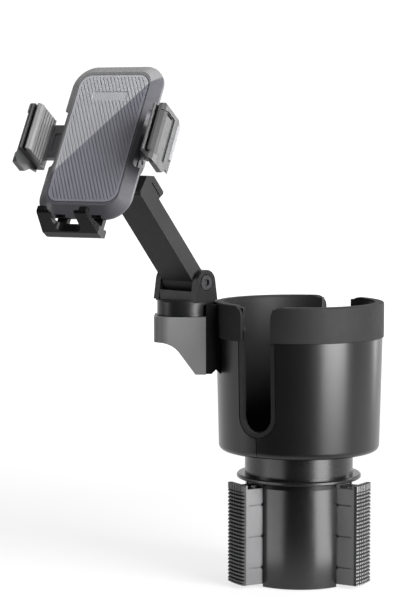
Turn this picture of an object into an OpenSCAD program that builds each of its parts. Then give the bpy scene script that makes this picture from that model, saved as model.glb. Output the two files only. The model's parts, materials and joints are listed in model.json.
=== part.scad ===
// Car phone mount: a cup-holder expander with three jaws, a slotted cup, a side bracket,
// a tilting arm and a ball-jointed phone cradle. Millimetres, Z up, front faces -Y,
// origin at the middle of the base's underside.

/* [Base] */
// core radius
core_r = 35; // [30:0.5:38]
// core height up to the cap's top
core_h = 67.6; // [60:0.2:75]
// jaw width
jaw_w = 20; // [16:0.5:22]
// jaw pad's outer radius when fully spread
jaw_reach = 48.7; // [46:0.1:50]
// jaw radial depth behind the pad
jaw_depth = 16; // [14:0.5:17]
// jaw height
jaw_h = 64.8; // [58:0.2:65]
// collar radius
collar_r = 40.6; // [38:0.2:44]

/* [Cup] */
// cup floor height
cup_z = 86; // [80:0.5:95]
// cup outer radius at the bottom
cup_rb = 52.4; // [50:0.1:54]
// cup outer radius under the band
cup_rt = 54.2; // [53:0.1:56]
// bore radius for the bottle
bore_r = 49.2; // [46:0.1:50]
// bottom edge of the rim band
band_z = 160.3; // [150:0.1:170]
// rim band outer radius
band_r = 55; // [54.4:0.1:57]
// rim height
rim_z = 183.1; // [175:0.1:190]
// half width of the handle slots
slot_half = 10.4; // [8:0.1:13]
// direction of the front handle slot
slot_angle = 237.3; // [200:0.1:260]

/* [Bracket] */
// turret axis, distance from the cup's axis
turret_x = 74.2; // [72:0.1:80]
// bracket top height
bracket_z = 174; // [165:0.5:180]
// bracket depth front to back
bracket_d = 40; // [34:1:44]

/* [Turret and arm] */
// turret disc radius
turret_r = 18.4; // [16:0.1:18.6]
// pivot height
pivot_z = 196; // [192:0.5:204]
// pivot axis heading
arm_heading = 46.1; // [30:0.1:60]
// arm lean from upright
arm_lean = 39.1; // [20:0.1:50]
// pivot to ball centre, along the arm
arm_reach = 99; // [90:0.1:110]
// arm width between the ears
arm_w = 28.6; // [22:0.2:29]
// arm thickness
arm_t = 10.7; // [9:0.1:12]
// arm length from the pivot to its front top edge
arm_len = 80; // [70:0.5:81]

/* [Cradle] */
// cradle turned to its left
cradle_yaw = 25.1; // [0:0.1:45]
// cradle leaned back
cradle_tilt = 31.6; // [0:0.1:45]
// plate width
plate_w = 64; // [56:0.5:70]
// plate height
plate_h = 109; // [95:0.5:120]
// plate corner radius
plate_r = 15; // [8:0.5:18]
// ball centre to plate face
plate_z = 27; // [25:0.5:30]
// half of the gap between the side jaws
grip_half = 38.8; // [36:0.1:42]
// side jaw length
grip_len = 40; // [34:0.5:46]
// half width of the foot
foot_half = 19.2; // [16:0.2:22]

/* [Hidden] */
$fn = 96;
e = 0.01;
play = 0.4;
fit = 0.05;
jaw_angles = [210, 330, 90];
tooth_m = 1;
tooth_n = 12;
pitch_r = tooth_m * tooth_n / 2;
press_a = 25;
addendum = 0.8;
dedendum = 1.05;
backlash = 0.16;
cover_t = 3;
core_wall = 2.4;
cap_t = 3.6;
cap_z = core_h - cap_t;
collar_z = core_h + 0.3;
collar_t = 2.7;
neck_r = 35.3;
neck_wall = 2.5;
neck_top_t = 3;
spindle_r = 4;
journal_r = 9;
rack_z0 = 8;
rack_t = 4;
rack_step = 6;
rack_end = -2.5;
web_z = 27.5;
web_t = 2.5;
rack_back = 10;
jaw_z = 1.8;
pad_t = 2;
jaw_out = jaw_reach - pad_t;
jaw_in = jaw_out - jaw_depth;
slit_pitch = 20.4;
slit_z = 12.8;
wall = 2;
fillet = 4;
floor_t = 2.4;
lip_w = 3;
lip_gap = 0.4;
slot_zc = 113;
flare_r = 7;
liner_floor = 3.1;
mat_t = 1.5;
mat_r = 46;
rail_x = 60.6;
rail_half = 16;
horn_w = 3;
horn_z = 182;
bridge_h = 6.2;
foot_z = 137;
bracket_x = 94.4;
bracket_wall = 2.8;
ear_t = 4.6;
ear_r = 8.2;
ear_out = 19.3;
disc_z = bracket_z + 0.3;
disc_top = 184.1;
bolt_r = 3;
ball_r = 8;
neck_stud_r = 3.2;
ball_side = -2;
ball_back = 4.1;
block_y = 11.4;
block_top = 84.2;
stud_base_r = 4.8;
liner_r = 9.3;
ring_r = 11.55;
boss_r = 14;
nut_r = 17.2;
shell_z = 13;
split_z = 20.5;
slide_z = 15.3;
slide_t = 3.4;
clamp_y = 2;
clamp_half = 12;
cavity = 2;
notch_d = 4;
notch_lo = -19;
notch_hi = 22;
pad_half_w = 24.3;
pad_half_h = 45.5;
rib_pitch = 2.25;
rib_lean = 26;
foot_x = -1.2;
foot_slot = 8.8;
wing_x = 49.8;
foot_tip = 42.6;
screw_x = 19.5;
screw_y = 41;

// ---------- placement ----------
module radial(a) { rotate([0, 0, a]) rotate([90, 0, 90]) children(); }
module at_turret() { translate([-turret_x, 0, 0]) rotate([0, 0, arm_heading - 90]) children(); }
module at_arm() {
  translate([-turret_x, 0, pivot_z]) rotate([arm_lean, 0, arm_heading - 90]) children();
}
function arm_forward() = arm_reach * sin(arm_lean) - ball_back * cos(arm_lean);
function ball_pos() = [
  -turret_x - arm_forward() * cos(arm_heading) + ball_side * sin(arm_heading),
  -arm_forward() * sin(arm_heading) - ball_side * cos(arm_heading),
  pivot_z + arm_reach * cos(arm_lean) + ball_back * sin(arm_lean)];
module at_head() { translate(ball_pos()) rotate([90 - cradle_tilt, 0, -cradle_yaw]) children(); }

// ---------- shared shapes ----------
module tube(r, inner, h) {
  difference() {
    cylinder(r = r, h = h);
    translate([0, 0, -1]) cylinder(r = inner, h = h + 2);
  }
}
module round_rect(w, h, r) {
  square([w - 2 * r, h], center = true);
  square([w, h - 2 * r], center = true);
  for (x = [-1, 1], y = [-1, 1]) translate([x * (w / 2 - r), y * (h / 2 - r)]) circle(r = r);
}
module round_block(w, h, r, t) { linear_extrude(t) round_rect(w, h, r); }
// rounded block whose top edge is bevelled all round
module bevel_block(w, h, r, t, b) {
  wedge = [[-w / 2, 0], [w / 2, 0], [w / 2, t - b[1]], [w / 2 - b[0], t], [b[0] - w / 2, t],
    [-w / 2, t - b[1]]];
  edge = [[-h / 2, 0], [h / 2, 0], [h / 2, t - b[1]], [h / 2 - b[0], t], [b[0] - h / 2, t],
    [-h / 2, t - b[1]]];
  translate([0, h / 2 - r, 0]) rotate([90, 0, 0]) linear_extrude(h - 2 * r) polygon(wedge);
  translate([r - w / 2, 0, 0]) rotate([90, 0, 90]) linear_extrude(w - 2 * r) polygon(edge);
  for (x = [-1, 1], y = [-1, 1]) translate([x * (w / 2 - r), y * (h / 2 - r), 0]) {
    cylinder(r = r, h = t - b[1]);
    translate([0, 0, t - b[1]]) cylinder(r1 = r, r2 = r - b[0], h = b[1]);
  }
}
module screw(head_r, head_h, r, len) {
  difference() {
    cylinder(r = head_r, h = head_h);
    translate([0, 0, head_h - 0.9]) cube([head_r * 1.3, 0.8, 2], center = true);
    translate([0, 0, head_h - 0.9]) cube([0.8, head_r * 1.3, 2], center = true);
  }
  translate([0, 0, -len]) cylinder(r = r, h = len + e);
}

// involute pinion with 12 teeth and its rack
function unroll(rb, r) = sqrt(max(0, pow(r / rb, 2) - 1));
function inv(rb, r) = unroll(rb, r) * 180 / PI - atan(unroll(rb, r));
function polar(r, a) = [r * cos(a), r * sin(a)];
base_r = pitch_r * cos(press_a);
root_r = pitch_r - dedendum;
tip_r = pitch_r + addendum;
half_pitch_a = 90 / tooth_n - backlash / pitch_r * 90 / PI;
steps = 5;
function half_at(r) = half_pitch_a + inv(base_r, pitch_r) - inv(base_r, r);
function flank(i) = base_r + (tip_r - base_r) * i / steps;
tooth = concat(
  [polar(root_r - 0.4, -half_at(base_r))],
  [for (i = [0:steps]) polar(flank(i), -half_at(flank(i)))],
  [for (i = [steps:-1:0]) polar(flank(i), half_at(flank(i)))],
  [polar(root_r - 0.4, half_at(base_r))]);
module pinion(h) {
  linear_extrude(h) {
    circle(r = root_r);
    for (k = [0:tooth_n - 1]) rotate(k * 360 / tooth_n) polygon(tooth);
  }
}
// teeth point to -Y from a bar whose back is at y = back; the bar runs from x0 to x1
module rack_bar(x0, x1, back, h) {
  p = PI * tooth_m;
  w = p / 4 - backlash / 2;
  top = w - addendum * tan(press_a);
  low = w + dedendum * tan(press_a);
  y0 = pitch_r + dedendum;
  linear_extrude(h) {
    translate([x0, y0 - e]) square([x1 - x0, back - y0 + e]);
    for (k = [ceil(x0 / p - 0.2):floor(x1 / p - 0.9)]) {
      c = (k + 0.5) * p;
      polygon([[c - low, y0], [c - top, pitch_r - addendum], [c + top, pitch_r - addendum],
        [c + low, y0]]);
    }
  }
}

// ---------- base ----------
module jaw_void(z0, h, x0) {
  for (a = jaw_angles) rotate([0, 0, a])
    translate([x0, -jaw_w / 2 - play, z0]) cube([core_r, jaw_w + 2 * play, h]);
}
module screw_spots(r, a0) {
  for (k = [0:2]) rotate([0, 0, a0 + k * 120]) translate([r, 0, 0]) children();
}
module base_shell() {
  h = cap_z - cover_t;
  color("#26272a") translate([0, 0, cover_t]) difference() {
    cylinder(r = core_r, h = h);
    difference() {
      translate([0, 0, -1]) cylinder(r = core_r - core_wall, h = h + 2);
      for (a = jaw_angles) rotate([0, 0, a])
        translate([18, -jaw_w / 2 - play - 2, -2]) cube([core_r, jaw_w + 2 * play + 4, h + 4]);
      screw_spots(30, 30) translate([0, 0, -2]) cylinder(r = 3.6, h = h + 4);
      translate([0, 0, web_z - cover_t]) cylinder(r = core_r, h = web_t);
    }
    translate([0, 0, -1]) jaw_void(0, h + 2, 18);
    cylinder(r = spindle_r + play, h = h);
    screw_spots(30, 30) translate([0, 0, -1]) cylinder(r = 1.25, h = h + 2);
  }
}
module base_cover() {
  color("#1f2022") difference() {
    union() {
      cylinder(r = core_r, h = cover_t);
      cylinder(r = 7, h = cover_t + 3);
    }
    translate([0, 0, -1]) jaw_void(0, cover_t + 2, 18);
    translate([0, 0, 1.2]) cylinder(r = 3 + fit, h = 10);
    screw_spots(30, 30) {
      translate([0, 0, -1]) cylinder(r = 1.6, h = 8);
      translate([0, 0, -1]) cylinder(r = 3.2, h = 2.4);
    }
    translate([0, 0, -1]) tube(25.6, 24.6, 1.6);
  }
}
module base_screws() {
  color("#8a8d90") screw_spots(30, 30) translate([0, 0, 1.4]) rotate([180, 0, 0])
    screw(2.9, 1.2, 1.25, 8);
}
module base_cap() {
  color("#1f2022") translate([0, 0, cap_z]) difference() {
    cylinder(r = core_r, h = cap_t);
    translate([0, 0, -1]) cylinder(r = journal_r + fit, h = 10);
    translate([0, 0, -1]) jaw_void(0, cap_t + 2, 18);
    screw_spots(30, 30) {
      translate([0, 0, -1]) cylinder(r = 1.6, h = 8);
      translate([0, 0, cap_t - 1.6]) cylinder(r = 3.2, h = 3);
    }
  }
}
module cap_screws() {
  color("#8a8d90") screw_spots(30, 30) translate([0, 0, core_h - 1.6])
    screw(2.9, 1.2, 1.25, 8);
}

// the jaw's body, in a frame whose X is radial
module jaw_body() {
  half = jaw_w / 2;
  difference() {
    intersection() {
      translate([jaw_in, -half, jaw_z]) cube([jaw_depth + 1, jaw_w, jaw_h]);
      translate([0, 0, jaw_z]) cylinder(r = jaw_out, h = jaw_h);
    }
    for (s = [0, 1]) translate([jaw_in + wall + s * 6.6, wall - half, jaw_z + 2])
      cube([5.4, jaw_w - 2 * wall, jaw_h]);
    translate([jaw_in + wall, -half - 1, jaw_z + jaw_h - 2.4]) cube([jaw_depth - 2 * wall, jaw_w + 2, 4]);
    for (k = [0:2]) translate([jaw_in + 1.4, -half - 1, slit_z + k * slit_pitch - 0.4])
      cube([jaw_depth - 4.6, 1.9, 0.8]);
    for (k = [0:2]) translate([jaw_in + 1.4, half - 0.9, slit_z + k * slit_pitch - 0.4])
      cube([jaw_depth - 4.6, 1.9, 0.8]);
    for (k = [0:2], s = [-1, 1])
      translate([jaw_in + 1.4, s * (half - 0.6) - 1, slit_z + k * slit_pitch - 1.2])
        cube([2.2, 2, 2.4]);
  }
  for (y = [-3.4, 3.4])
    translate([jaw_in + wall - e, y - 0.6, jaw_z + 1]) cube([5.4 + 2 * e, 1.2, jaw_h - 2.4]);
}
module jaw_pad() {
  half = jaw_w / 2;
  grooves = 25;
  translate([0, 0, jaw_z]) difference() {
    intersection() {
      tube(jaw_reach, jaw_out, jaw_h);
      translate([30, -half, 0]) cube([30, jaw_w, jaw_h]);
    }
    for (k = [0:grooves - 1]) translate([jaw_reach - 0.55, 0.9 - half, 2.2 + k * 2.3])
      cube([5, jaw_w - 1.8, 0.9]);
  }
}
module jaw_rack(level) {
  half = jaw_w / 2;
  translate([0, 0, rack_z0 + level * rack_step]) {
    rack_bar(rack_end, jaw_in - 1.5 + e, rack_back, rack_t);
    translate([jaw_in - 1.5, -half, -1]) cube([1.5, jaw_w, rack_t + 2]);
  }
}
module jaw_left() { color("#3a3b3e") rotate([0, 0, jaw_angles[0]]) jaw_body(); }
module jaw_right() { color("#3a3b3e") rotate([0, 0, jaw_angles[1]]) jaw_body(); }
module jaw_rear() { color("#3a3b3e") rotate([0, 0, jaw_angles[2]]) jaw_body(); }
module jaw_pad_left() { color("#222326") rotate([0, 0, jaw_angles[0]]) jaw_pad(); }
module jaw_pad_right() { color("#222326") rotate([0, 0, jaw_angles[1]]) jaw_pad(); }
module jaw_pad_rear() { color("#222326") rotate([0, 0, jaw_angles[2]]) jaw_pad(); }
module rack_left() { color("#c9cacb") rotate([0, 0, jaw_angles[0]]) jaw_rack(0); }
module rack_right() { color("#c9cacb") rotate([0, 0, jaw_angles[1]]) jaw_rack(1); }
module rack_rear() { color("#c9cacb") rotate([0, 0, jaw_angles[2]]) jaw_rack(2); }

module spindle() {
  z0 = rack_z0 - 1;
  h = 2 * rack_step + rack_t + 2;
  flange_z = cup_z - neck_top_t - 6;
  color("#d4d5d6") difference() {
    union() {
      translate([0, 0, 2]) cylinder(r = 3, h = z0 - 2 + e);
      translate([0, 0, z0]) pinion(h);
      translate([0, 0, z0 + h - e]) cylinder(r = spindle_r, h = cap_z - 3 - z0 - h);
      translate([0, 0, cap_z - 3 - 2 * e])
        cylinder(r = journal_r, h = flange_z - cap_z + 3 + 3 * e);
      translate([0, 0, flange_z]) cylinder(r = 15, h = 6);
    }
    screw_spots(12.2, 0) translate([0, 0, flange_z - 1]) cylinder(r = 1.1, h = 8);
  }
}
module spindle_screws() {
  color("#8a8d90") screw_spots(12.2, 0) translate([0, 0, cup_z - neck_top_t - 6])
    rotate([180, 0, 0]) screw(1.8, 1.2, 1, 8);
}
module neck() {
  color("#1d1e20") difference() {
    rotate_extrude() difference() {
      polygon([[0, cup_z - neck_top_t], [neck_r - neck_wall, cup_z - neck_top_t],
        [neck_r - neck_wall, collar_z], [collar_r - 0.5, collar_z], [collar_r, collar_z + 0.5],
        [collar_r, collar_z + collar_t - 0.8], [collar_r - 0.8, collar_z + collar_t],
        [neck_r, collar_z + collar_t], [neck_r, cup_z], [0, cup_z]]);
    }
    screw_spots(26, 60) translate([0, 0, cup_z - 10]) cylinder(r = 1.6, h = 20);
    screw_spots(12.2, 0) translate([0, 0, cup_z - neck_top_t - 1]) cylinder(r = 1, h = 3.2);
  }
}
module neck_screws() {
  color("#8a8d90") screw_spots(26, 60) translate([0, 0, cup_z - neck_top_t])
    rotate([180, 0, 0]) screw(3, 1.8, 1.6, 5.4);
}

// ---------- cup ----------
module slot_2d(half, zc, flare) {
  top = rim_z + 2;
  translate([0, zc]) circle(r = half);
  translate([-half, zc]) square([2 * half, top - zc]);
  if (flare) for (s = [-1, 1]) difference() {
    translate([s * (half + flare_r / 2), rim_z - flare_r / 2 + 1])
      square([flare_r + e, flare_r + 2], center = true);
    translate([s * (half + flare_r), rim_z - flare_r]) circle(r = flare_r);
    translate([s * (half + flare_r / 2), rim_z - flare_r - 1])
      square([flare_r + 1, 2], center = true);
  }
}
module slot_cut(half, zc, flare) {
  for (a = [slot_angle, slot_angle + 180]) radial(a) translate([0, 0, 30])
    linear_extrude(35) slot_2d(half, zc, flare);
}
function cup_edge(z, inset) =
  cup_rb - inset + (cup_rt - cup_rb) * (z - cup_z - fillet) / (band_z - cup_z - fillet);
module cup_shell() {
  seam = 0.5;
  color("#1c1d1f") difference() {
    rotate_extrude() difference() {
      union() {
        polygon([[0, cup_z], [cup_rb - fillet, cup_z], [cup_rb - fillet, cup_z + fillet],
          [cup_rb, cup_z + fillet], [cup_rt, band_z], [0, band_z]]);
        translate([cup_rb - fillet, cup_z + fillet]) circle(r = fillet);
      }
      polygon([[-1, cup_z + floor_t], [cup_edge(cup_z + floor_t, wall), cup_z + floor_t],
        [cup_edge(band_z + 1, wall), band_z + 1], [-1, band_z + 1]]);
    }
    slot_cut(slot_half + lip_w + lip_gap, slot_zc, false);
    for (a = [slot_angle, slot_angle + 180]) rotate([0, 0, a])
      translate([cup_rb - 0.9, -seam / 2, cup_z - 1]) cube([5, seam, 14]);
    screw_spots(26, 60) translate([0, 0, cup_z - 1]) cylinder(r = 1.6, h = 5);
  }
}
module cup_liner() {
  z0 = cup_z + floor_t;
  top = rim_z - 1.5;
  color("#17181a") difference() {
    union() {
      rotate_extrude() polygon([[0, z0], [cup_edge(z0, wall), z0], [cup_edge(band_z, wall), band_z],
        [cup_edge(band_z, wall), top], [0, top]]);
      intersection() {
        rotate_extrude() polygon([[45, 92], [cup_edge(92, 0.3), 92],
          [cup_edge(band_z, 0.3), band_z], [45, band_z]]);
        slot_cut(slot_half + lip_w, slot_zc, false);
      }
    }
    translate([0, 0, z0 + liner_floor]) cylinder(r = bore_r, h = 120);
    translate([0, 0, z0 + liner_floor - mat_t]) cylinder(r = mat_r, h = 5);
    slot_cut(slot_half, slot_zc, false);
    slot_cut(slot_half + 0.6, band_z + slot_half, false);
  }
}
module rim_band() {
  round_top = 1.1;
  ri = cup_edge(band_z, wall);
  color("#333436") difference() {
    rotate_extrude() {
      difference() {
        union() {
          polygon([[bore_r, band_z], [band_r - 0.3, band_z], [band_r, band_z + 0.3],
            [band_r, rim_z - round_top], [band_r - round_top, rim_z - round_top],
            [band_r - round_top, rim_z], [bore_r, rim_z]]);
          translate([band_r - round_top, rim_z - round_top]) circle(r = round_top);
        }
        polygon([[0, 0], [ri, 0], [ri, rim_z - 1.5], [0, rim_z - 1.5]]);
      }
    }
    slot_cut(slot_half + 0.6, band_z + slot_half, true);
    slot_cut(slot_half + 0.6, slot_zc, false);
  }
}
module floor_mat() {
  z0 = cup_z + floor_t + liner_floor - mat_t;
  color("#151516") translate([0, 0, z0]) difference() {
    cylinder(r = mat_r - 0.2, h = mat_t - 0.05);
    for (k = [1:5]) translate([0, 0, mat_t - 0.5]) tube(k * 8 + 1.2, k * 8, 2);
  }
}

// ---------- side bracket ----------
module cup_envelope() {
  rotate_extrude() polygon([[0, 0], [cup_edge(0, 0), 0], [cup_rt, band_z], [band_r, band_z],
    [band_r, 250], [0, 250]]);
}
module side_rail() {
  h = bracket_z - 1 - foot_z;
  color("#0f0f10") difference() {
    union() {
      translate([-rail_x, -rail_half, foot_z]) cube([14, 2 * rail_half, h]);
      for (y = [-rail_half, rail_half - horn_w]) translate([-rail_x, y, foot_z + h - 1])
        cube([12, horn_w, horn_z - foot_z - h + 1]);
    }
    cup_envelope();
    for (s = [-1, 1]) translate([-rail_x - 1, s * 8, foot_z + 15]) rotate([0, 90, 0])
      cylinder(r = 1.6, h = 5);
    translate([-rail_x + 6.5, 0, foot_z]) rotate([0, 45, 0]) cube([4, 60, 4], center = true);
  }
}
module bracket_side() {
  low = bracket_z - 16.6;
  arc_r = 16;
  x = 3.9 - bracket_x;
  slope = 53.5;
  t = [x + arc_r * sin(slope), low - arc_r + arc_r * cos(slope)];
  end_x = t[0] + (t[1] - foot_z) / tan(slope);
  difference() {
    translate([-bracket_x, foot_z]) square([bracket_x - rail_x, bracket_z - foot_z]);
    translate([x, low - arc_r]) circle(r = arc_r);
    polygon([[-bracket_x - 1, foot_z - 1], [-bracket_x - 1, low], [x, low], [x, low - arc_r], t,
      [end_x, foot_z], [end_x, foot_z - 1]]);
  }
}
module bracket() {
  r = 10;
  half = bracket_d / 2;
  w = bracket_wall;
  color("#6c6d70") difference() {
    intersection() {
      translate([0, half, 0]) rotate([90, 0, 0]) linear_extrude(bracket_d) bracket_side();
      translate([0, 0, foot_z - 1]) linear_extrude(60) {
        translate([-bracket_x + r, -half]) square([bracket_x - rail_x - r, bracket_d]);
        translate([-bracket_x, r - half]) square([bracket_x - rail_x, bracket_d - 2 * r]);
        for (s = [-1, 1]) translate([-bracket_x + r, s * (half - r)]) circle(r = r);
      }
    }
    difference() {
      translate([-bracket_x + 5.4, w - half, 162]) cube([60, bracket_d - 2 * w, 12 - w]);
      translate([-turret_x, 0, 150]) cylinder(r = 7, h = 30);
    }
    translate([-rail_x - 4, w - half, foot_z + 3]) cube([20, bracket_d - 2 * w, 26]);
    translate([-turret_x, 0, 150]) cylinder(r = bolt_r + fit, h = 30);
    translate([-turret_x, 0, 140]) cylinder(r = 6, h = 22.5);
  }
}
module bracket_screws() {
  color("#8a8d90") for (s = [-1, 1]) translate([-rail_x, s * 8, foot_z + 15])
    rotate([0, -90, 0]) screw(2.9, 1.6, 1.6, 4);
}

// ---------- turret ----------
module ear_2d() {
  z = pivot_z - disc_z;
  translate([0, z]) circle(r = ear_r);
  polygon([[-10.6, 0], [10.6, 0], [10.6, 7], [8.1, z + 1.2], [-8.1, z + 1.2], [-10.6, 7]]);
}
module turret() {
  color("#2b2c2f") difference() {
    union() {
      intersection() {
        at_turret() translate([0, 0, disc_z]) {
          cylinder(r = turret_r - 0.6, h = 0.6);
          translate([0, 0, 0.6]) cylinder(r = turret_r, h = disc_top - disc_z - 1.4);
          translate([0, 0, disc_top - disc_z - 0.8]) cylinder(r1 = turret_r, r2 = 17.6, h = 0.8);
        }
        translate([-200, -100, 0]) cube([300, 200, disc_top]);
      }
      difference() {
        at_turret() translate([0, 0, disc_z]) for (s = [-1, 1])
          translate([s * (ear_out - ear_t / 2) - ear_t / 2, 0, 0]) rotate([90, 0, 90])
            linear_extrude(ear_t) ear_2d();
        at_turret() translate([0, 0, disc_z - 1]) tube(40, turret_r, disc_top - disc_z + 1);
      }
      at_turret() difference() {
        translate([1 - ear_out, -9.2, disc_top - 1]) cube([2 * ear_out - 2, 18.4, bridge_h + 1]);
        translate([-30, 0, pivot_z]) rotate([0, 90, 0]) cylinder(r = 7.8, h = 60);
      }
    }
    at_turret() {
      translate([-30, 0, pivot_z]) rotate([0, 90, 0]) cylinder(r = bolt_r + fit, h = 60);
      translate([ear_out - 2.4, 0, pivot_z]) rotate([0, 90, 0]) cylinder(r = 5.4, h = 5);
      translate([-ear_out - 1, 0, pivot_z]) rotate([0, 90, 0]) cylinder(r = 5.4, h = 3.4, $fn = 6);
      translate([0, 0, disc_z - 1]) cylinder(r = bolt_r + fit, h = 30);
      translate([0, 0, disc_top - 3.6]) cylinder(r = 6.2, h = 30);
    }
  }
}
module turret_bolt() {
  color("#7d8083") at_turret() {
    difference() {
      translate([0, 0, disc_top - 3.6]) cylinder(r = 5.8, h = 2.8);
      translate([0, 0, disc_top - 2.2]) cylinder(r = 2.4, h = 5, $fn = 6);
    }
    translate([0, 0, 158.4]) cylinder(r = bolt_r, h = disc_top - 3.6 - 158.4 + e);
  }
}
module turret_washer() {
  color("#8a8d90") at_turret() translate([0, 0, 158.6]) tube(5.6, bolt_r, 3.6);
}
module hinge_bolt() {
  color("#4a4c4f") at_turret() translate([0, 0, pivot_z]) rotate([0, 90, 0]) {
    translate([0, 0, ear_out - 2.4]) difference() {
      cylinder(r = 4.9, h = 2.6);
      translate([0, 0, 1]) cylinder(r = 2.5, h = 5, $fn = 6);
    }
    translate([0, 0, 0.2 - ear_out]) cylinder(r = bolt_r, h = 2 * ear_out - 2.5);
  }
}
module hinge_nut() {
  color("#4a4c4f") at_turret() translate([-ear_out, 0, pivot_z]) rotate([0, 90, 0])
    difference() {
      cylinder(r = 5.2, h = 2.4, $fn = 6);
      translate([0, 0, -1]) cylinder(r = bolt_r, h = 5);
    }
}
module hinge_washers() {
  inner = ear_out - ear_t;
  color("#b9babc") at_turret() translate([0, 0, pivot_z]) rotate([0, 90, 0])
    for (z = [-inner, inner - 0.35]) translate([0, 0, z]) tube(6, bolt_r, 0.35);
}

// ---------- arm (frame: X along the pivot, Z along the arm, Y to its back) ----------
module arm_end_cut() {
  t = arm_t / 2;
  translate([-40, 0, 0]) rotate([90, 0, 90]) linear_extrude(80)
    polygon([[-t - 5, arm_len - 7.2], [-t - 5, 100], [20, 100], [20, block_top - 12],
      [block_y + 0.2, block_top - 4.5], [6.7, block_top], [1.6 - t, arm_len + 0.4],
      [-t, arm_len - 1.6]]);
}
module arm_shell() {
  half = arm_w / 2;
  t = arm_t / 2;
  w = 2.2;
  color("#2f3033") at_arm() difference() {
    union() {
      translate([-half, 0, 0]) rotate([0, 90, 0]) cylinder(r = 7.4, h = arm_w);
      translate([-half, -t, 0]) cube([arm_w, arm_t, block_top]);
    }
    arm_end_cut();
    translate([w - half, w - t, 10]) cube([arm_w - 2 * w, arm_t, 62]);
    translate([-half - 1, 0, 0]) rotate([0, 90, 0]) cylinder(r = bolt_r + fit, h = arm_w + 2);
    translate([ball_side, ball_back, 75]) cylinder(r = stud_base_r, h = 20);
    for (s = [-1, 1]) translate([s * (half + 0.4), -t - 0.4, arm_len / 2]) rotate([0, 0, 45])
      cube([1.4, 1.4, arm_len * 2], center = true);
  }
}
module arm_cover() {
  half = arm_w / 2;
  t = arm_t / 2;
  w = 2.2;
  color("#34353a") at_arm() difference() {
    translate([w - half, t - 2, 10]) cube([arm_w - 2 * w, 2, 62]);
    for (z = [16, 56]) translate([0, t + 1, z]) rotate([90, 0, 0]) {
      cylinder(r = 1.6, h = 5);
      cylinder(r = 3.1, h = 2.4);
    }
  }
}
module arm_block() {
  t = arm_t / 2;
  w = arm_w - 0.6;
  color("#2f3033") at_arm() difference() {
    translate([-w / 2, 0, 0]) rotate([90, 0, 90]) linear_extrude(w)
      polygon([[t, 66], [block_y - 1, 66], [block_y, 67], [block_y, block_top], [t, block_top]]);
    arm_end_cut();
    translate([ball_side, ball_back, 75]) cylinder(r = stud_base_r, h = 20);
    for (s = [-1, 1]) translate([s * w / 2, 7.2, 72.5]) cube([1.6, 0.9, 11], center = true);
  }
}
module arm_screws() {
  t = arm_t / 2;
  color("#8a8d90") at_arm() for (z = [16, 56]) translate([0, t - 1.4, z]) rotate([-90, 0, 0])
    screw(2.9, 1.2, 1.6, 5.6);
}
module ball_stud() {
  neck_z = block_top + 1.8;
  color("#9b9da0") at_arm() translate([ball_side, ball_back, 0]) {
    translate([0, 0, arm_reach]) sphere(r = ball_r);
    translate([0, 0, 75]) cylinder(r = stud_base_r, h = block_top + 0.2 - 75);
    translate([0, 0, block_top + 0.2 - e]) cylinder(r1 = stud_base_r, r2 = neck_stud_r, h = 1.6 + 2 * e);
    translate([0, 0, neck_z]) cylinder(r = neck_stud_r, h = arm_reach - neck_z - 4);
  }
}

// ---------- ball joint (frame: ball centre, Z towards the phone) ----------
module ball_liner() {
  color("#c9cacb") at_head() difference() {
    sphere(r = liner_r);
    sphere(r = ball_r + fit);
    translate([0, 0, -20 - 3.4]) cylinder(r = 20, h = 20);
    translate([0, 0, 6.2]) cylinder(r = 20, h = 20);
  }
}
module pressure_ring() {
  color("#55575a") at_head() difference() {
    translate([0, 0, -4]) cylinder(r = ring_r, h = 9);
    sphere(r = liner_r + fit);
  }
}
module ball_nut() {
  color("#1b1c1e") at_head() difference() {
    union() {
      translate([0, 0, -7]) cylinder(r = nut_r, h = 15);
      translate([0, 0, -8.2]) cylinder(r1 = nut_r - 1.2, r2 = nut_r, h = 1.2 + e);
    }
    translate([0, 0, -5.8]) cylinder(r = boss_r + fit, h = 20);
    translate([0, 0, -10]) cylinder(r = 10.7, h = 20);
    for (k = [0:17]) rotate([0, 0, k * 20]) translate([nut_r + 0.7, 0, -4.6])
      cylinder(r = 1.7, h = 10.4, $fn = 24);
  }
}

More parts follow.
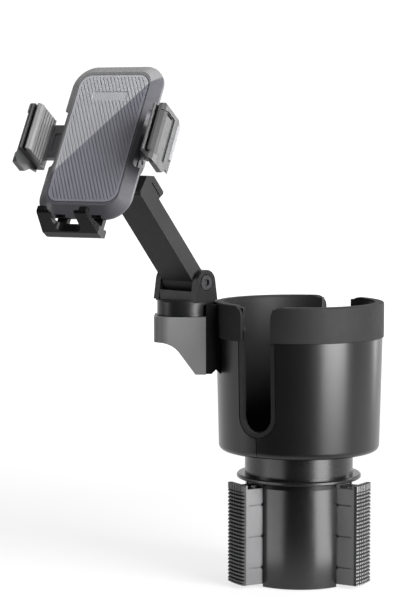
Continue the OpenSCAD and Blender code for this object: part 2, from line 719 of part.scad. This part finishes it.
// ---------- cradle ----------
module outline_cut(z, h) {
  mid = (notch_lo + notch_hi) / 2;
  len = notch_hi - notch_lo;
  for (s = [-1, 1]) translate([s * (plate_w / 2 + 5 - notch_d), mid, z])
    round_block(10, len, 2, h);
}
module screw_corners(z) {
  for (x = [-screw_x, screw_x], y = [-screw_y, screw_y]) translate([x, y, z]) children();
}
module cradle_back() {
  h = split_z - shell_z;
  color("#1e1f21") at_head() difference() {
    union() {
      translate([0, 0, split_z]) mirror([0, 0, 1])
        bevel_block(plate_w - 1.6, plate_h - 1.6, plate_r - 0.8, h, [6.9, 6.9]);
      translate([0, 0, -5.5]) cylinder(r = boss_r, h = shell_z + 6);
    }
    difference() {
      translate([0, 0, split_z + 1]) mirror([0, 0, 1])
        bevel_block(plate_w - 6, plate_h - 6, plate_r - 3, h - cavity + 1, [4.9, 4.9]);
      translate([0, clamp_y, 10]) cylinder(r = 2.5, h = 9);
      screw_corners(10) cylinder(r = 3.2, h = 12);
      for (s = [-1, 1]) translate([-27, clamp_y + s * (clamp_half + play + 0.8) - 0.8, 10])
        cube([54, 1.6, 9]);
      for (s = [-1, 1], x = [8.2, 16.6]) translate([s * x - 0.6 + foot_x, -48, 10])
        cube([1.2, 22, 9]);
      outline_cut(10, 20);
      for (s = [-1, 1]) translate([s * (plate_w / 2 - 2 - notch_d), 2.5, 10])
        translate([-1, -21, 0]) cube([2, 42, 12]);
    }
    outline_cut(0, 30);
    translate([-60, clamp_y - clamp_half - play, slide_z - 0.3])
      cube([120, 2 * (clamp_half + play), slide_t + 0.6]);
    for (s = [-1, 1]) translate([s * 12.4 - 3.6 - play / 2 + foot_x, -60, slide_z - 0.3])
      cube([7.2 + play, 34, slide_t + 0.6]);
    translate([0, 0, -6]) cylinder(r = ring_r + fit, h = 11.3);
    translate([0, 0, 5]) cylinder(r = 9.5, h = 6);
    screw_corners(5) {
      cylinder(r = 1.6, h = 20);
      cylinder(r = 3.1, h = shell_z - 5 + 1.4);
    }
    translate([0, -36, 5]) round_block(11 + 2 * play, 15 + 2 * play, 3 + play, 20);
  }
}
module front_plate() {
  h = plate_z - split_z;
  color("#2a2b2e") at_head() difference() {
    translate([0, 0, split_z]) bevel_block(plate_w, plate_h, plate_r, h, [6.6, 4.6]);
    translate([0, 0, split_z - 1]) round_block(plate_w - 9, plate_h - 9, plate_r - 4, 1.8);
    outline_cut(split_z - 5, 40);
    translate([0, 0, plate_z - 1.4])
      round_block(2 * pad_half_w + 0.8, 2 * pad_half_h + 0.8, 8.4, 5);
    screw_corners(18) cylinder(r = 1.25, h = 6);
    for (s = [-1, 1]) translate([s * 12.4 - 4 + foot_x, -plate_h / 2 - 1, split_z - 1])
      cube([8, 3.4, 4]);
  }
}
module face_pad() {
  w = 2 * pad_half_w;
  h = 2 * pad_half_h;
  color("#55565c") at_head() translate([0, 0, plate_z - 1.4]) difference() {
    round_block(w, h, 8, 1.5);
    intersection() {
      translate([0, 0, 1.2]) round_block(w - 3, h - 3, 6.5, 2);
      rotate([0, 0, rib_lean]) for (k = [-18:18]) translate([k * rib_pitch, 0, 1.7])
        cube([0.8, 2 * h, 1], center = true);
    }
    translate([-0.3, 30.3, 1.1]) round_block(25, 6.5, 1, 2);
  }
}
module cradle_screws() {
  color("#8a8d90") at_head() screw_corners(shell_z + 1.4) rotate([180, 0, 0])
    screw(2.9, 1.2, 1.25, 8);
}

// one side's slider: bar, rack and the block that carries the side jaw (drawn for the left)
module slider_shape() {
  x0 = -grip_half - 9;
  y = clamp_half;
  translate([0, clamp_y, slide_z]) difference() {
    union() {
      translate([x0, -y, 0]) cube([9 + grip_half - 31, 2 * y, slide_t]);
      translate([-31 - e, -5, 0]) cube([14, 10, slide_t]);
      rack_bar(-31 - e, 6.5, 11, slide_t);
    }
    translate([x0 + 11, -6, slide_t - 0.6]) cube([8, 12, 2]);
  }
}
module grip_2d() {
  g = grip_half + 2.6;
  polygon([[g, 12.6], [g + 4.6, 12.8], [wing_x, 24.5], [wing_x, 36.4], [wing_x - 1.4, 38.6],
    [wing_x - 3.6, 40.3], [wing_x - 5.2, 40.9], [grip_half + 5.2, 40.4], [grip_half + 5.2, 36.6],
    [g, 36.6]]);
}
module grip_ends() {
  top = 17.6;
  translate([30, 0, 0]) rotate([90, 0, 90]) linear_extrude(30) {
    polygon([[top + 20, 0], [top + 20, 60], [top - 3, 60], [top - 3, 41.4], [top - 1, 40.6],
      [top, 38.6], [top, 24], [top - 2, 12], [top - 2, 0]]);
    polygon([[-60, 0], [-60, 60], [3 - grip_len + top, 60], [3 - grip_len + top, 41.4],
      [top - grip_len + 1, 40.4], [top - grip_len - 1, 37], [top - grip_len - 1.5, 26],
      [top - grip_len + 4, 20], [top - grip_len + 6, 0]]);
  }
}
module grip_shape() {
  top = 17.6;
  len = grip_len;
  difference() {
    translate([0, 30, 0]) rotate([90, 0, 0]) linear_extrude(60) grip_2d();
    grip_ends();
    translate([wing_x + 8.4, top + 8.4 - 5, 0]) rotate([0, 0, 45]) cube([20, 20, 90], center = true);
    translate([wing_x + 10, top - len - 8, 0]) rotate([0, 0, 38]) cube([20, 20, 90], center = true);
    translate([38, clamp_y - clamp_half - 0.02, slide_z - 0.02])
      cube([9.8, 2 * clamp_half + 0.04, slide_t + 0.04]);
    translate([0, 12.4, 0]) rotate([90, 0, 0]) linear_extrude(30.4)
      polygon([[wing_x - 4, 39.6], [wing_x - 2, 38.2], [wing_x - 0.9, 36], [wing_x - 0.9, 27],
        [wing_x + 5, 27], [wing_x + 5, 46], [wing_x - 4, 46]]);
    translate([wing_x - 2.4, 10.4, 29.5]) cube([5, 1.3, 6.5]);
    translate([grip_half, -30, 0]) cube([wing_x - 3.6 - grip_half, 30 - 15.4, 60]);
  }
}
module grip_pad_shape() {
  top = 17;
  len = 32.4;
  difference() {
    translate([0, top, 0]) rotate([90, 0, 0]) linear_extrude(len)
      polygon([[grip_half, 18.7], [grip_half + 2.6, 18.7], [grip_half + 2.6, 38.6],
        [grip_half + 3, 39.9], [grip_half + 2, 40.4], [grip_half + 0.4, 39.2],
        [grip_half - 0.6, 37.2], [grip_half, 36]]);
    for (k = [-2:2]) translate([grip_half - 0.6, -len, 26.6 + k * 3]) cube([1.2, 2 * len, 0.9]);
  }
}
module slider_left() { color("#222326") at_head() slider_shape(); }
module slider_right() {
  color("#222326") at_head() translate([0, 2 * clamp_y, 0]) rotate([0, 0, 180])
    slider_shape();
}
module grip_right() { color("#55565a") at_head() grip_shape(); }
module grip_left() { color("#55565a") at_head() mirror([1, 0, 0]) grip_shape(); }
module grip_pad_right() { color("#2a2b2d") at_head() grip_pad_shape(); }
module grip_pad_left() { color("#2a2b2d") at_head() mirror([1, 0, 0]) grip_pad_shape(); }
module clamp_gear() {
  color("#d4d5d6") at_head() translate([0, clamp_y, slide_z]) difference() {
    pinion(slide_t);
    translate([0, 0, -1]) cylinder(r = 2.5 + fit, h = 10);
  }
}

// ---------- foot ----------
module foot_2d() {
  polygon([[14.6, -60.5], [14.6, -62.3], [16.6, -65.2], [20, -66.7], [26, -66.8],
    [foot_tip - 1, -61.9], [foot_tip, -60.6], [foot_tip - 0.2, -57.5], [foot_tip - 1.4, -56.8],
    [foot_tip - 3.2, -57.4], [foot_tip - 3.6, -59.8], [foot_tip - 5, -61.2], [20, -61.2],
    [19, -60.5]]);
}
module foot_outline() {
  tip = foot_half - 2.4;
  r = 4;
  polygon([[-tip, foot_tip + 1], [-foot_half, 26], [-foot_half, 14 + r], [foot_half, 14 + r],
    [foot_half, 26], [tip, foot_tip + 1]]);
  translate([r - foot_half, 14]) square([2 * foot_half - 2 * r, r + e]);
  for (s = [-1, 1]) translate([s * (foot_half - r), 14 + r]) circle(r = r);
}
module foot() {
  r = 4;
  color("#3c3d40") at_head() translate([foot_x, 0, 0]) difference() {
    union() {
      intersection() {
        translate([30, 0, 0]) rotate([0, -90, 0]) linear_extrude(60) foot_2d();
        translate([0, -40, 0]) rotate([90, 0, 0]) linear_extrude(40) foot_outline();
      }
      for (s = [-1, 1]) translate([s * 12.4 - 3.6, -61, slide_z]) cube([7.2, 34, slide_t]);
    }
    translate([0, -50, 0]) rotate([90, 0, 0]) linear_extrude(30) {
      translate([-foot_slot, 27 + r]) square([2 * foot_slot, 30]);
      translate([r - foot_slot, 27]) square([2 * foot_slot - 2 * r, 30]);
      for (s = [-1, 1]) translate([s * (foot_slot - r), 27 + r]) circle(r = r);
    }
    for (s = [-1, 1]) translate([s * 10.1 - 1.8, -60.2, foot_tip - 5]) cube([3.6, 8, 8]);
  }
}
module foot_pad() {
  color("#1a1a1b") at_head() for (s = [-1, 1]) translate([s * 13 - 2.8 + foot_x, -61.2, 24])
    cube([5.6, 1.2, 11]);
}
module release_button() {
  color("#3c3d40") at_head() translate([0, -36, 10.6]) {
    round_block(11, 15, 3, 4.8);
    translate([0, 0, 4.7]) round_block(12.1, 17.4, 4, 1.2);
  }
}

base_shell();
base_cover();
base_screws();
base_cap();
cap_screws();
jaw_left();
jaw_right();
jaw_rear();
jaw_pad_left();
jaw_pad_right();
jaw_pad_rear();
rack_left();
rack_right();
rack_rear();
spindle();
spindle_screws();
neck();
neck_screws();
cup_shell();
cup_liner();
rim_band();
floor_mat();
side_rail();
bracket();
bracket_screws();
turret();
turret_bolt();
turret_washer();
hinge_bolt();
hinge_nut();
hinge_washers();
arm_shell();
arm_cover();
arm_block();
arm_screws();
ball_stud();
ball_liner();
pressure_ring();
cradle_back();
front_plate();
face_pad();
cradle_screws();
ball_nut();
slider_left();
slider_right();
grip_left();
grip_right();
grip_pad_left();
grip_pad_right();
clamp_gear();
foot();
foot_pad();
release_button();
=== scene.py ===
import bpy
import bmesh
import json
import math
from mathutils import Matrix, Vector


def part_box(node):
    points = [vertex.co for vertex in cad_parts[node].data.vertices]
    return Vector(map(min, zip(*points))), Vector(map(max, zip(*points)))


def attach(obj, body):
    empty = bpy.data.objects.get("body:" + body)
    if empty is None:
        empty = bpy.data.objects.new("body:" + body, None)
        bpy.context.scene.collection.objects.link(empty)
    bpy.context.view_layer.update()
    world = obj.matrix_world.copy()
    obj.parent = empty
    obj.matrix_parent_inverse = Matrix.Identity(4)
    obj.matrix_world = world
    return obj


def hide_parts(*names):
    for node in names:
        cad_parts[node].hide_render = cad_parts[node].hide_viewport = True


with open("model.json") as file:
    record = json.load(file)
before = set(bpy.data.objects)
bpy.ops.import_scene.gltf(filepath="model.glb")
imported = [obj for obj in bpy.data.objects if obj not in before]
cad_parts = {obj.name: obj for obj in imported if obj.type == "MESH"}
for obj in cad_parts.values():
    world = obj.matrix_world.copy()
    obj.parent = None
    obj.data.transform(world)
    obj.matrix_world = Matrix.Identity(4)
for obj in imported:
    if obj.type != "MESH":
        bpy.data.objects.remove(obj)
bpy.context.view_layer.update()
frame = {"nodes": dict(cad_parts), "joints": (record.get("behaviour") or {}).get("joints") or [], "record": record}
nodes = frame["nodes"]
joints = {j["name"]: j for j in frame["joints"]}
slot_of = {s["node"]: s["material_slot"] for s in frame["record"]["subparts"]}
MM = 0.001
rad = math.radians


# ---------- the phone cradle's own directions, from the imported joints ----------
ball = Vector(joints["head_roll"]["pos_m"])
across = Vector(joints["head_tilt"]["axis"]).normalized()
upward = Vector(joints["head_pan"]["axis"]).normalized()


# ---------- materials ----------
def new_material(name):
    m = bpy.data.materials.new(name)
    m.use_nodes = True
    nt = m.node_tree
    return m, nt, nt.nodes["Principled BSDF"]


def link(nt, a, b):
    nt.links.new(a, b)


def object_point(nt):
    return nt.nodes.new("ShaderNodeTexCoord").outputs["Object"]


def noise(nt, scale, detail, rough, vector):
    n = nt.nodes.new("ShaderNodeTexNoise")
    n.inputs["Scale"].default_value = scale
    n.inputs["Detail"].default_value = detail
    n.inputs["Roughness"].default_value = rough
    link(nt, vector, n.inputs["Vector"])
    return n.outputs["Fac"]


def ramp(nt, fac, stops):
    """Colour that runs between two stops, each a position and a colour."""
    r = nt.nodes.new("ShaderNodeValToRGB")
    for element, (position, colour) in zip(r.color_ramp.elements, stops):
        element.position = position
        element.color = (*colour, 1)
    link(nt, fac, r.inputs["Fac"])
    return r.outputs["Color"]


def spread(nt, fac, low, high, start=0.3, end=0.7):
    """Number that goes from low to high while fac goes from start to end."""
    m = nt.nodes.new("ShaderNodeMapRange")
    m.inputs["To Min"].default_value = low
    m.inputs["To Max"].default_value = high
    m.inputs["From Min"].default_value = start
    m.inputs["From Max"].default_value = end
    link(nt, fac, m.inputs["Value"])
    return m.outputs["Result"]


def combine(nt, operation, a, b):
    m = nt.nodes.new("ShaderNodeMath")
    m.operation = operation
    link(nt, a, m.inputs[0])
    link(nt, b, m.inputs[1])
    return m.outputs["Value"]


def bump(nt, height, strength, distance):
    b = nt.nodes.new("ShaderNodeBump")
    b.inputs["Strength"].default_value = strength
    b.inputs["Distance"].default_value = distance
    link(nt, height, b.inputs["Height"])
    return b.outputs["Normal"]


DRIFT = 0.12
GRAIN_HEIGHT = 0.08 * MM


def plastic(name, tone, rough, grain=2600.0, depth=0.3, spec=0.5):
    """Moulded plastic: broad tone drift, spark-eroded grain and patchy wear in the gloss."""
    m, nt, p = new_material(name)
    at = object_point(nt)
    broad = noise(nt, 38.0, 3.0, 0.5, at)
    fine = noise(nt, grain, 3.0, 0.6, at)
    scuff = noise(nt, 210.0, 6.0, 0.7, at)
    darker = [c * (1 - DRIFT) for c in tone]
    lighter = [c * (1 + DRIFT) for c in tone]
    link(nt, ramp(nt, broad, [(0.3, darker), (0.7, lighter)]), p.inputs["Base Color"])
    link(nt, spread(nt, scuff, *rough), p.inputs["Roughness"])
    link(nt, bump(nt, fine, depth, GRAIN_HEIGHT), p.inputs["Normal"])
    p.inputs["Specular IOR Level"].default_value = spec
    return m


LINE_RISE, LINE_RUN = 0.612, 0.791
LINE_OFFSET = 4.7 * MM
LINE_BLUR = 0.4 * MM


def two_tone(name, dark, light, rough, depth=0.3):
    """Plastic whose upper left half is lighter. The line between runs across the cradle's face."""
    m = plastic(name, dark, rough, 2200.0, depth)
    nt = m.node_tree
    p = nt.nodes["Principled BSDF"]
    at = object_point(nt)
    lean = upward * LINE_RISE - across * LINE_RUN
    dot = nt.nodes.new("ShaderNodeVectorMath")
    dot.operation = "DOT_PRODUCT"
    dot.inputs[1].default_value = lean
    link(nt, at, dot.inputs[0])
    edge = ball.dot(lean) + LINE_OFFSET
    mask = spread(nt, dot.outputs["Value"], 0.0, 1.0, edge - LINE_BLUR, edge + LINE_BLUR)
    old = p.inputs["Base Color"].links[0].from_socket
    mix = nt.nodes.new("ShaderNodeMix")
    mix.data_type = "RGBA"
    link(nt, mask, mix.inputs["Factor"])
    link(nt, old, mix.inputs["A"])
    dimmer = [c * 0.93 for c in light]
    pale = ramp(nt, noise(nt, 60.0, 3.0, 0.5, at), [(0.3, dimmer), (0.7, light)])
    link(nt, pale, mix.inputs["B"])
    link(nt, mix.outputs["Result"], p.inputs["Base Color"])
    return m


MARK_STRETCH = 14
MARK_HEIGHT = 0.04 * MM


def steel(name, tone, rough=(0.2, 0.4)):
    """Bare metal with fine turning marks and a faint stain."""
    m, nt, p = new_material(name)
    at = object_point(nt)
    turn = nt.nodes.new("ShaderNodeMapping")
    turn.inputs["Scale"].default_value = (1, 1, MARK_STRETCH)
    link(nt, at, turn.inputs["Vector"])
    marks = noise(nt, 900.0, 5.0, 0.6, turn.outputs["Vector"])
    stain = noise(nt, 120.0, 4.0, 0.6, at)
    stained = [c * 0.8 for c in tone]
    link(nt, ramp(nt, stain, [(0.3, stained), (0.7, tone)]), p.inputs["Base Color"])
    link(nt, spread(nt, marks, *rough), p.inputs["Roughness"])
    link(nt, bump(nt, marks, 0.3, MARK_HEIGHT), p.inputs["Normal"])
    p.inputs["Metallic"].default_value = 1.0
    return m


M = {
    "base_plastic": plastic("black_satin_base", (0.001, 0.001, 0.0011), (0.2, 0.25),
                            depth=0.04, spec=0.6),
    "jaw_plastic": plastic("grey_satin_jaw", (0.052, 0.052, 0.054), (0.4, 0.55)),
    "pad_rubber": plastic("black_rubber", (0.016, 0.016, 0.0165), (0.5, 0.65), spec=0.3),
    # Lighter rubber for the flat tops of the knurl; the sunk grooves keep the black rubber.
    "knurl_tip": plastic("pale_rubber_knurl_top", (0.15, 0.15, 0.152), (0.45, 0.6)),
    "rack_nylon": plastic("natural_nylon", (0.6, 0.6, 0.57), (0.4, 0.5)),
    "neck_plastic": plastic("black_satin_neck", (0.003, 0.003, 0.0032), (0.25, 0.28),
                            depth=0.03, spec=0.5),
    "cup_gloss": plastic("black_satin_cup", (0.003, 0.003, 0.0032), (0.275, 0.285),
                         depth=0.012, spec=0.5),
    "band_matte": plastic("matte_band", (0.008, 0.008, 0.0083), (0.6, 0.7), spec=0.2),
    "liner_plastic": plastic("matte_liner", (0.008, 0.008, 0.008), (0.45, 0.55), spec=0.25),
    "bracket_plastic": plastic("grey_bracket", (0.09, 0.09, 0.092), (0.4, 0.5)),
    # Rail between bracket and cup: black plastic, darkened further and made low in gloss as painted shade for the
    # shadowed neck there.
    "rail_plastic": plastic("black_rail_painted_shade", (0.002, 0.002, 0.002), (0.5, 0.6), spec=0.1),
    "turret_plastic": plastic("black_turret", (0.006, 0.006, 0.0062), (0.3, 0.4),
                              depth=0.1, spec=0.3),
    "arm_plastic": plastic("grained_arm", (0.018, 0.018, 0.0185), (0.42, 0.52),
                           1500.0, 0.9, spec=0.12),
    "steel": steel("zinc_steel", (0.55, 0.56, 0.58)),
    "black_steel": steel("black_steel", (0.06, 0.06, 0.063), (0.35, 0.5)),
    "ball_alloy": steel("turned_alloy", (0.62, 0.63, 0.65), (0.18, 0.3)),
    "cradle_plastic": plastic("black_satin_cradle", (0.035, 0.035, 0.038), (0.32, 0.42),
                              depth=0.1, spec=0.5),
    "face_rubber": two_tone("face_rubber", (0.135, 0.134, 0.158), (0.32, 0.322, 0.34),
                            (0.45, 0.55)),
    "grip_plastic": plastic("grey_satin_grip", (0.035, 0.035, 0.036), (0.3, 0.4), depth=0.1),
    "foot_plastic": plastic("black_satin_foot", (0.005, 0.005, 0.0052), (0.24, 0.32),
                            depth=0.05, spec=0.12),
}
# Sliders: a lighter copy of the cradle plastic. Its paler tone is painted light, standing in for the light that
# the shaded sliders don't get.
slider_painted_light_grey = plastic("slider_grey_painted_light", (0.16, 0.16, 0.167), (0.4, 0.5))
lip_grey = plastic("grey_soft_lip", (0.11, 0.11, 0.112), (0.4, 0.5))
own_material = {
    "foot": M["foot_plastic"],
    "slider_left": slider_painted_light_grey,
    "slider_right": slider_painted_light_grey,
    "grip_pad_left": lip_grey,
    "grip_pad_right": lip_grey,
    "front_plate": two_tone("black_satin_plate", (0.052, 0.052, 0.059), (0.14, 0.14, 0.143),
                            (0.34, 0.44), 0.1),
}


# ---------- materials and softened edges of the CAD nodes ----------
# Width in millimetres of the rounding on each node's moulded edges.
edge_of = {
    "cup_shell": 0.5, "rim_band": 0.4, "side_rail": 0.4, "bracket": 0.4, "turret": 0.5,
    "neck": 0.4, "base_shell": 0.3, "jaw_left": 0.25, "jaw_right": 0.25, "jaw_rear": 0.25,
    "arm_shell": 0.6, "arm_block": 0.5, "arm_cover": 0.3, "ball_nut": 0.3,
    "cradle_back": 0.5, "front_plate": 0.6, "face_pad": 0.12, "foot": 0.3,
    "slider_left": 0.3, "slider_right": 0.3, "grip_left": 0.3, "grip_right": 0.3,
    "grip_pad_left": 0.3, "grip_pad_right": 0.3,
}
FLAT_WITHIN = rad(1.0)
SHARP_FROM = rad(32)
for name, ob in nodes.items():
    ob.data.materials.clear()
    ob.data.materials.append(own_material.get(name, M[slot_of[name]]))
    if name in edge_of:
        flat = ob.modifiers.new("flat", "DECIMATE")
        flat.decimate_type = "DISSOLVE"
        flat.angle_limit = FLAT_WITHIN
        soft = ob.modifiers.new("soft", "BEVEL")
        soft.width = edge_of[name] * MM
        soft.segments = 2
        soft.limit_method = "ANGLE"
        soft.angle_limit = SHARP_FROM
        soft.use_clamp_overlap = True
        soft.harden_normals = False


# ---------- mesh pieces ----------
def place(name, bm, matrix, slot):
    """Turns a mesh drawn in millimetres into a piece."""
    for v in bm.verts:
        v.co *= MM
    bm.transform(matrix)
    bmesh.ops.recalc_face_normals(bm, faces=bm.faces)
    mesh = bpy.data.meshes.new(name)
    bm.to_mesh(mesh)
    bm.free()
    ob = bpy.data.objects.new(name, mesh)
    bpy.context.scene.collection.objects.link(ob)
    mesh.materials.append(M[slot])
    return ob


def body_of(node):
    for body, names in frame["record"]["behaviour"]["bodies"].items():
        if node in names:
            return body


KNURL_COLUMNS, KNURL_ROWS = 8, 25
KNURL_DEPTH = 1.2
KNURL_SLOPE = 0.27
PLAIN_SIDE, PLAIN_FOOT, PLAIN_TOP = 1.2, 1.0, 4.0
PAD_THICKNESS = 2.0


def knurl_lines(low, start, end, high, count):
    """Grid lines with a plain margin at both ends, each a place and 1 for raised or 0 for sunk."""
    out = [(low, 1), (start, 1)]
    step = (end - start) / count
    for k in range(count):
        a = start + k * step
        out += [(a, 0), (a + KNURL_SLOPE * step, 1), (a + (1 - KNURL_SLOPE) * step, 1)]
    return out + [(end, 0), (end, 1), (high, 1)]


def knurled_pad(node, turn, reach, width, low, high):
    """Curved jaw pad whose outer face is a grid of small flat-topped pyramids."""
    half = width / 2
    ys = knurl_lines(-half, -half + PLAIN_SIDE, half - PLAIN_SIDE, half, KNURL_COLUMNS)
    zs = knurl_lines(low, low + PLAIN_FOOT, high - PLAIN_TOP, high, KNURL_ROWS)
    bm = bmesh.new()

    def ring(y, z, r):
        return bm.verts.new((math.sqrt(r * r - y * y), y, z))

    outer = [[ring(y, z, reach - (0 if fy and fz else KNURL_DEPTH)) for z, fz in zs] for y, fy in ys]
    inner = [[ring(y, z, reach - PAD_THICKNESS) for z in (low, high)] for y, _ in ys]
    n, m = len(ys), len(zs)
    for i in range(n - 1):
        for j in range(m - 1):
            f = bm.faces.new((outer[i][j], outer[i + 1][j], outer[i + 1][j + 1], outer[i][j + 1]))
            # Faces wholly on a raised top take the lighter rubber.
            f.material_index = int(all((ys[i][1], ys[i + 1][1], zs[j][1], zs[j + 1][1])))
        bm.faces.new((inner[i][0], inner[i][1], inner[i + 1][1], inner[i + 1][0]))
        bm.faces.new((inner[i][0], inner[i + 1][0], outer[i + 1][0], outer[i][0]))
        bm.faces.new((inner[i][1], outer[i][-1], outer[i + 1][-1], inner[i + 1][1]))
    for i in (0, n - 1):
        bm.faces.new([inner[i][0]] + outer[i] + [inner[i][1]])
    ob = place(node + "_knurled", bm, Matrix.Rotation(turn, 4, "Z"), slot_of[node])
    ob.data.materials.append(M["knurl_tip"])
    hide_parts(node)
    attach(ob, body_of(node))


# The rear pad faces along Y, so its box gives the reach, width and height of all three.
pad_low, pad_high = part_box("jaw_pad_rear")
pad_reach = pad_high[1] / MM
pad_width = (pad_high[0] - pad_low[0]) / MM
for side in ("left", "right", "rear"):
    toward = -Vector(joints["jaw_%s_in" % side]["axis"])
    knurled_pad("jaw_pad_" + side, math.atan2(toward.y, toward.x), pad_reach, pad_width,
                pad_low[2] / MM, pad_high[2] / MM)


# ---------- floor, light, camera ----------
FLOOR_REACH = 8.0
FLOOR_TOP = -0.0006
WHITE = (1, 1, 1, 1)


def is_seen(nt):
    """1 for what the camera sees directly, 0 for light and reflections."""
    return nt.nodes.new("ShaderNodeLightPath").outputs["Is Camera Ray"]


def depth_of(nt, point):
    """How far back a point or a direction lies."""
    split = nt.nodes.new("ShaderNodeSeparateXYZ")
    link(nt, point, split.inputs["Vector"])
    return split.outputs["Y"]


def floor():
    """Pale floor that glows behind and under the object, and shines no light on it from in front."""
    corners = [(x * FLOOR_REACH, y * FLOOR_REACH, FLOOR_TOP) for x, y in ((-1, -1), (1, -1), (1, 1), (-1, 1))]
    mesh = bpy.data.meshes.new("floor")
    mesh.from_pydata(corners, [], [(0, 1, 2, 3)])
    ob = bpy.data.objects.new("floor", mesh)
    bpy.context.scene.collection.objects.link(ob)
    m, nt, p = new_material("pale_floor")
    depth = depth_of(nt, object_point(nt))
    back_half = spread(nt, depth, 0.0, 1.0, -0.3, -0.1)
    dark, pale = (0.02, 0.02, 0.02), (0.15, 0.15, 0.15)
    link(nt, ramp(nt, back_half, [(0.0, dark), (1.0, pale)]), p.inputs["Base Color"])
    near = spread(nt, depth, 0.0, 0.76, -0.2, -0.06)
    far = spread(nt, depth, 0.0, 0.4, 0.3, 1.6)
    lit = combine(nt, "ADD", near, far)
    shown = combine(nt, "MULTIPLY", spread(nt, depth, 0.55, 0.76, -0.4, -0.1), is_seen(nt))
    link(nt, combine(nt, "MAXIMUM", lit, shown), p.inputs["Emission Strength"])
    p.inputs["Roughness"].default_value = 0.95
    p.inputs["Specular IOR Level"].default_value = 0.1
    p.inputs["Emission Color"].default_value = WHITE
    mesh.materials.append(m)


def lamp(name, size, power, where, aim):
    """Soft box that the camera doesn't see."""
    data = bpy.data.lights.new(name, "AREA")
    data.shape = "RECTANGLE"
    data.size, data.size_y = size
    data.energy = power
    ob = bpy.data.objects.new(name, data)
    ob.location = where
    ob.rotation_euler = (Vector(aim) - Vector(where)).to_track_quat("-Z", "Y").to_euler()
    ob.visible_camera = False
    bpy.context.scene.collection.objects.link(ob)
    return ob


CARD_HEIGHT = 0.002


def card(name, turn, width_angle, radiance, start, end, lit_parts):
    """One step of a bright wedge on the floor, for the base's upright walls to reflect."""
    reach = (start + end) / 2
    size = (width_angle * reach, end - start)
    power = radiance * math.pi * size[0] * size[1]
    where = (reach * math.sin(turn), -reach * math.cos(turn), CARD_HEIGHT)
    ob = lamp(name, size, power, where, (0, 0, 1))
    ob.rotation_euler = (math.pi, 0, turn)
    ob.light_linking.receiver_collection = lit_parts


def studio():
    """Backdrop that is pale from every side, but lights the dark, glossy plastic only from behind."""
    world = bpy.data.worlds.new("studio")
    bpy.context.scene.world = world
    world.use_nodes = True
    nt = world.node_tree
    depth = depth_of(nt, nt.nodes.new("ShaderNodeTexCoord").outputs["Generated"])
    lit = spread(nt, depth, 0.08, 1.05, 0.55, 0.95)
    shown = spread(nt, is_seen(nt), 0.0, 0.55, 0.0, 1.0)
    background = nt.nodes["Background"]
    link(nt, combine(nt, "MAXIMUM", lit, shown), background.inputs["Strength"])
    background.inputs["Color"].default_value = WHITE


floor()
studio()
lamp("right_box", (0.7, 1.2), 62, (0.83, -0.77, 0.4), (0, 0, 0.2))
lamp("right_wide", (1.1, 1.2), 6, (0.9, -0.84, 0.4), (0, 0, 0.2))
lamp("rim_box", (0.2, 1.2), 5, (0.9, 0.65, 0.35), (0, 0, 0.2))
lamp("left_box", (0.3, 1.0), 4, (-1.05, -0.2, 0.4), (-0.05, 0, 0.2))
low_parts = bpy.data.collections.new("lit_by_cards")
for name in ("base_shell", "neck", "jaw_left", "jaw_right", "jaw_rear"):
    low_parts.objects.link(nodes[name])
for start, end in ((0.1, 0.18), (0.18, 0.32), (0.32, 0.56), (0.56, 0.9)):
    card("right_card", rad(48), 0.56, 5.4, start, end, low_parts)
    card("left_card", rad(-54), 0.75, 2.4, start, end, low_parts)
lamp("top_soft", (1.2, 1.2), 10, (0.0, 0.2, 1.4), (0, 0, 0.1))

CAMERA_PLACE = (-0.0415, -1.3738, 0.2978)
CAMERA_DOWN = rad(4.764)
CAMERA_LEFT = rad(0.954)
LENS, SENSOR = 126.8, 36

cam = bpy.data.objects.new("camera", bpy.data.cameras.new("camera"))
bpy.context.scene.collection.objects.link(cam)
cam.data.sensor_width = SENSOR
cam.data.lens = LENS
cam.data.clip_start = 0.05
cam.location = CAMERA_PLACE
cam.rotation_euler = (rad(90) - CAMERA_DOWN, 0, CAMERA_LEFT)
bpy.context.scene.camera = cam
bpy.context.scene.view_settings.view_transform = "Standard"
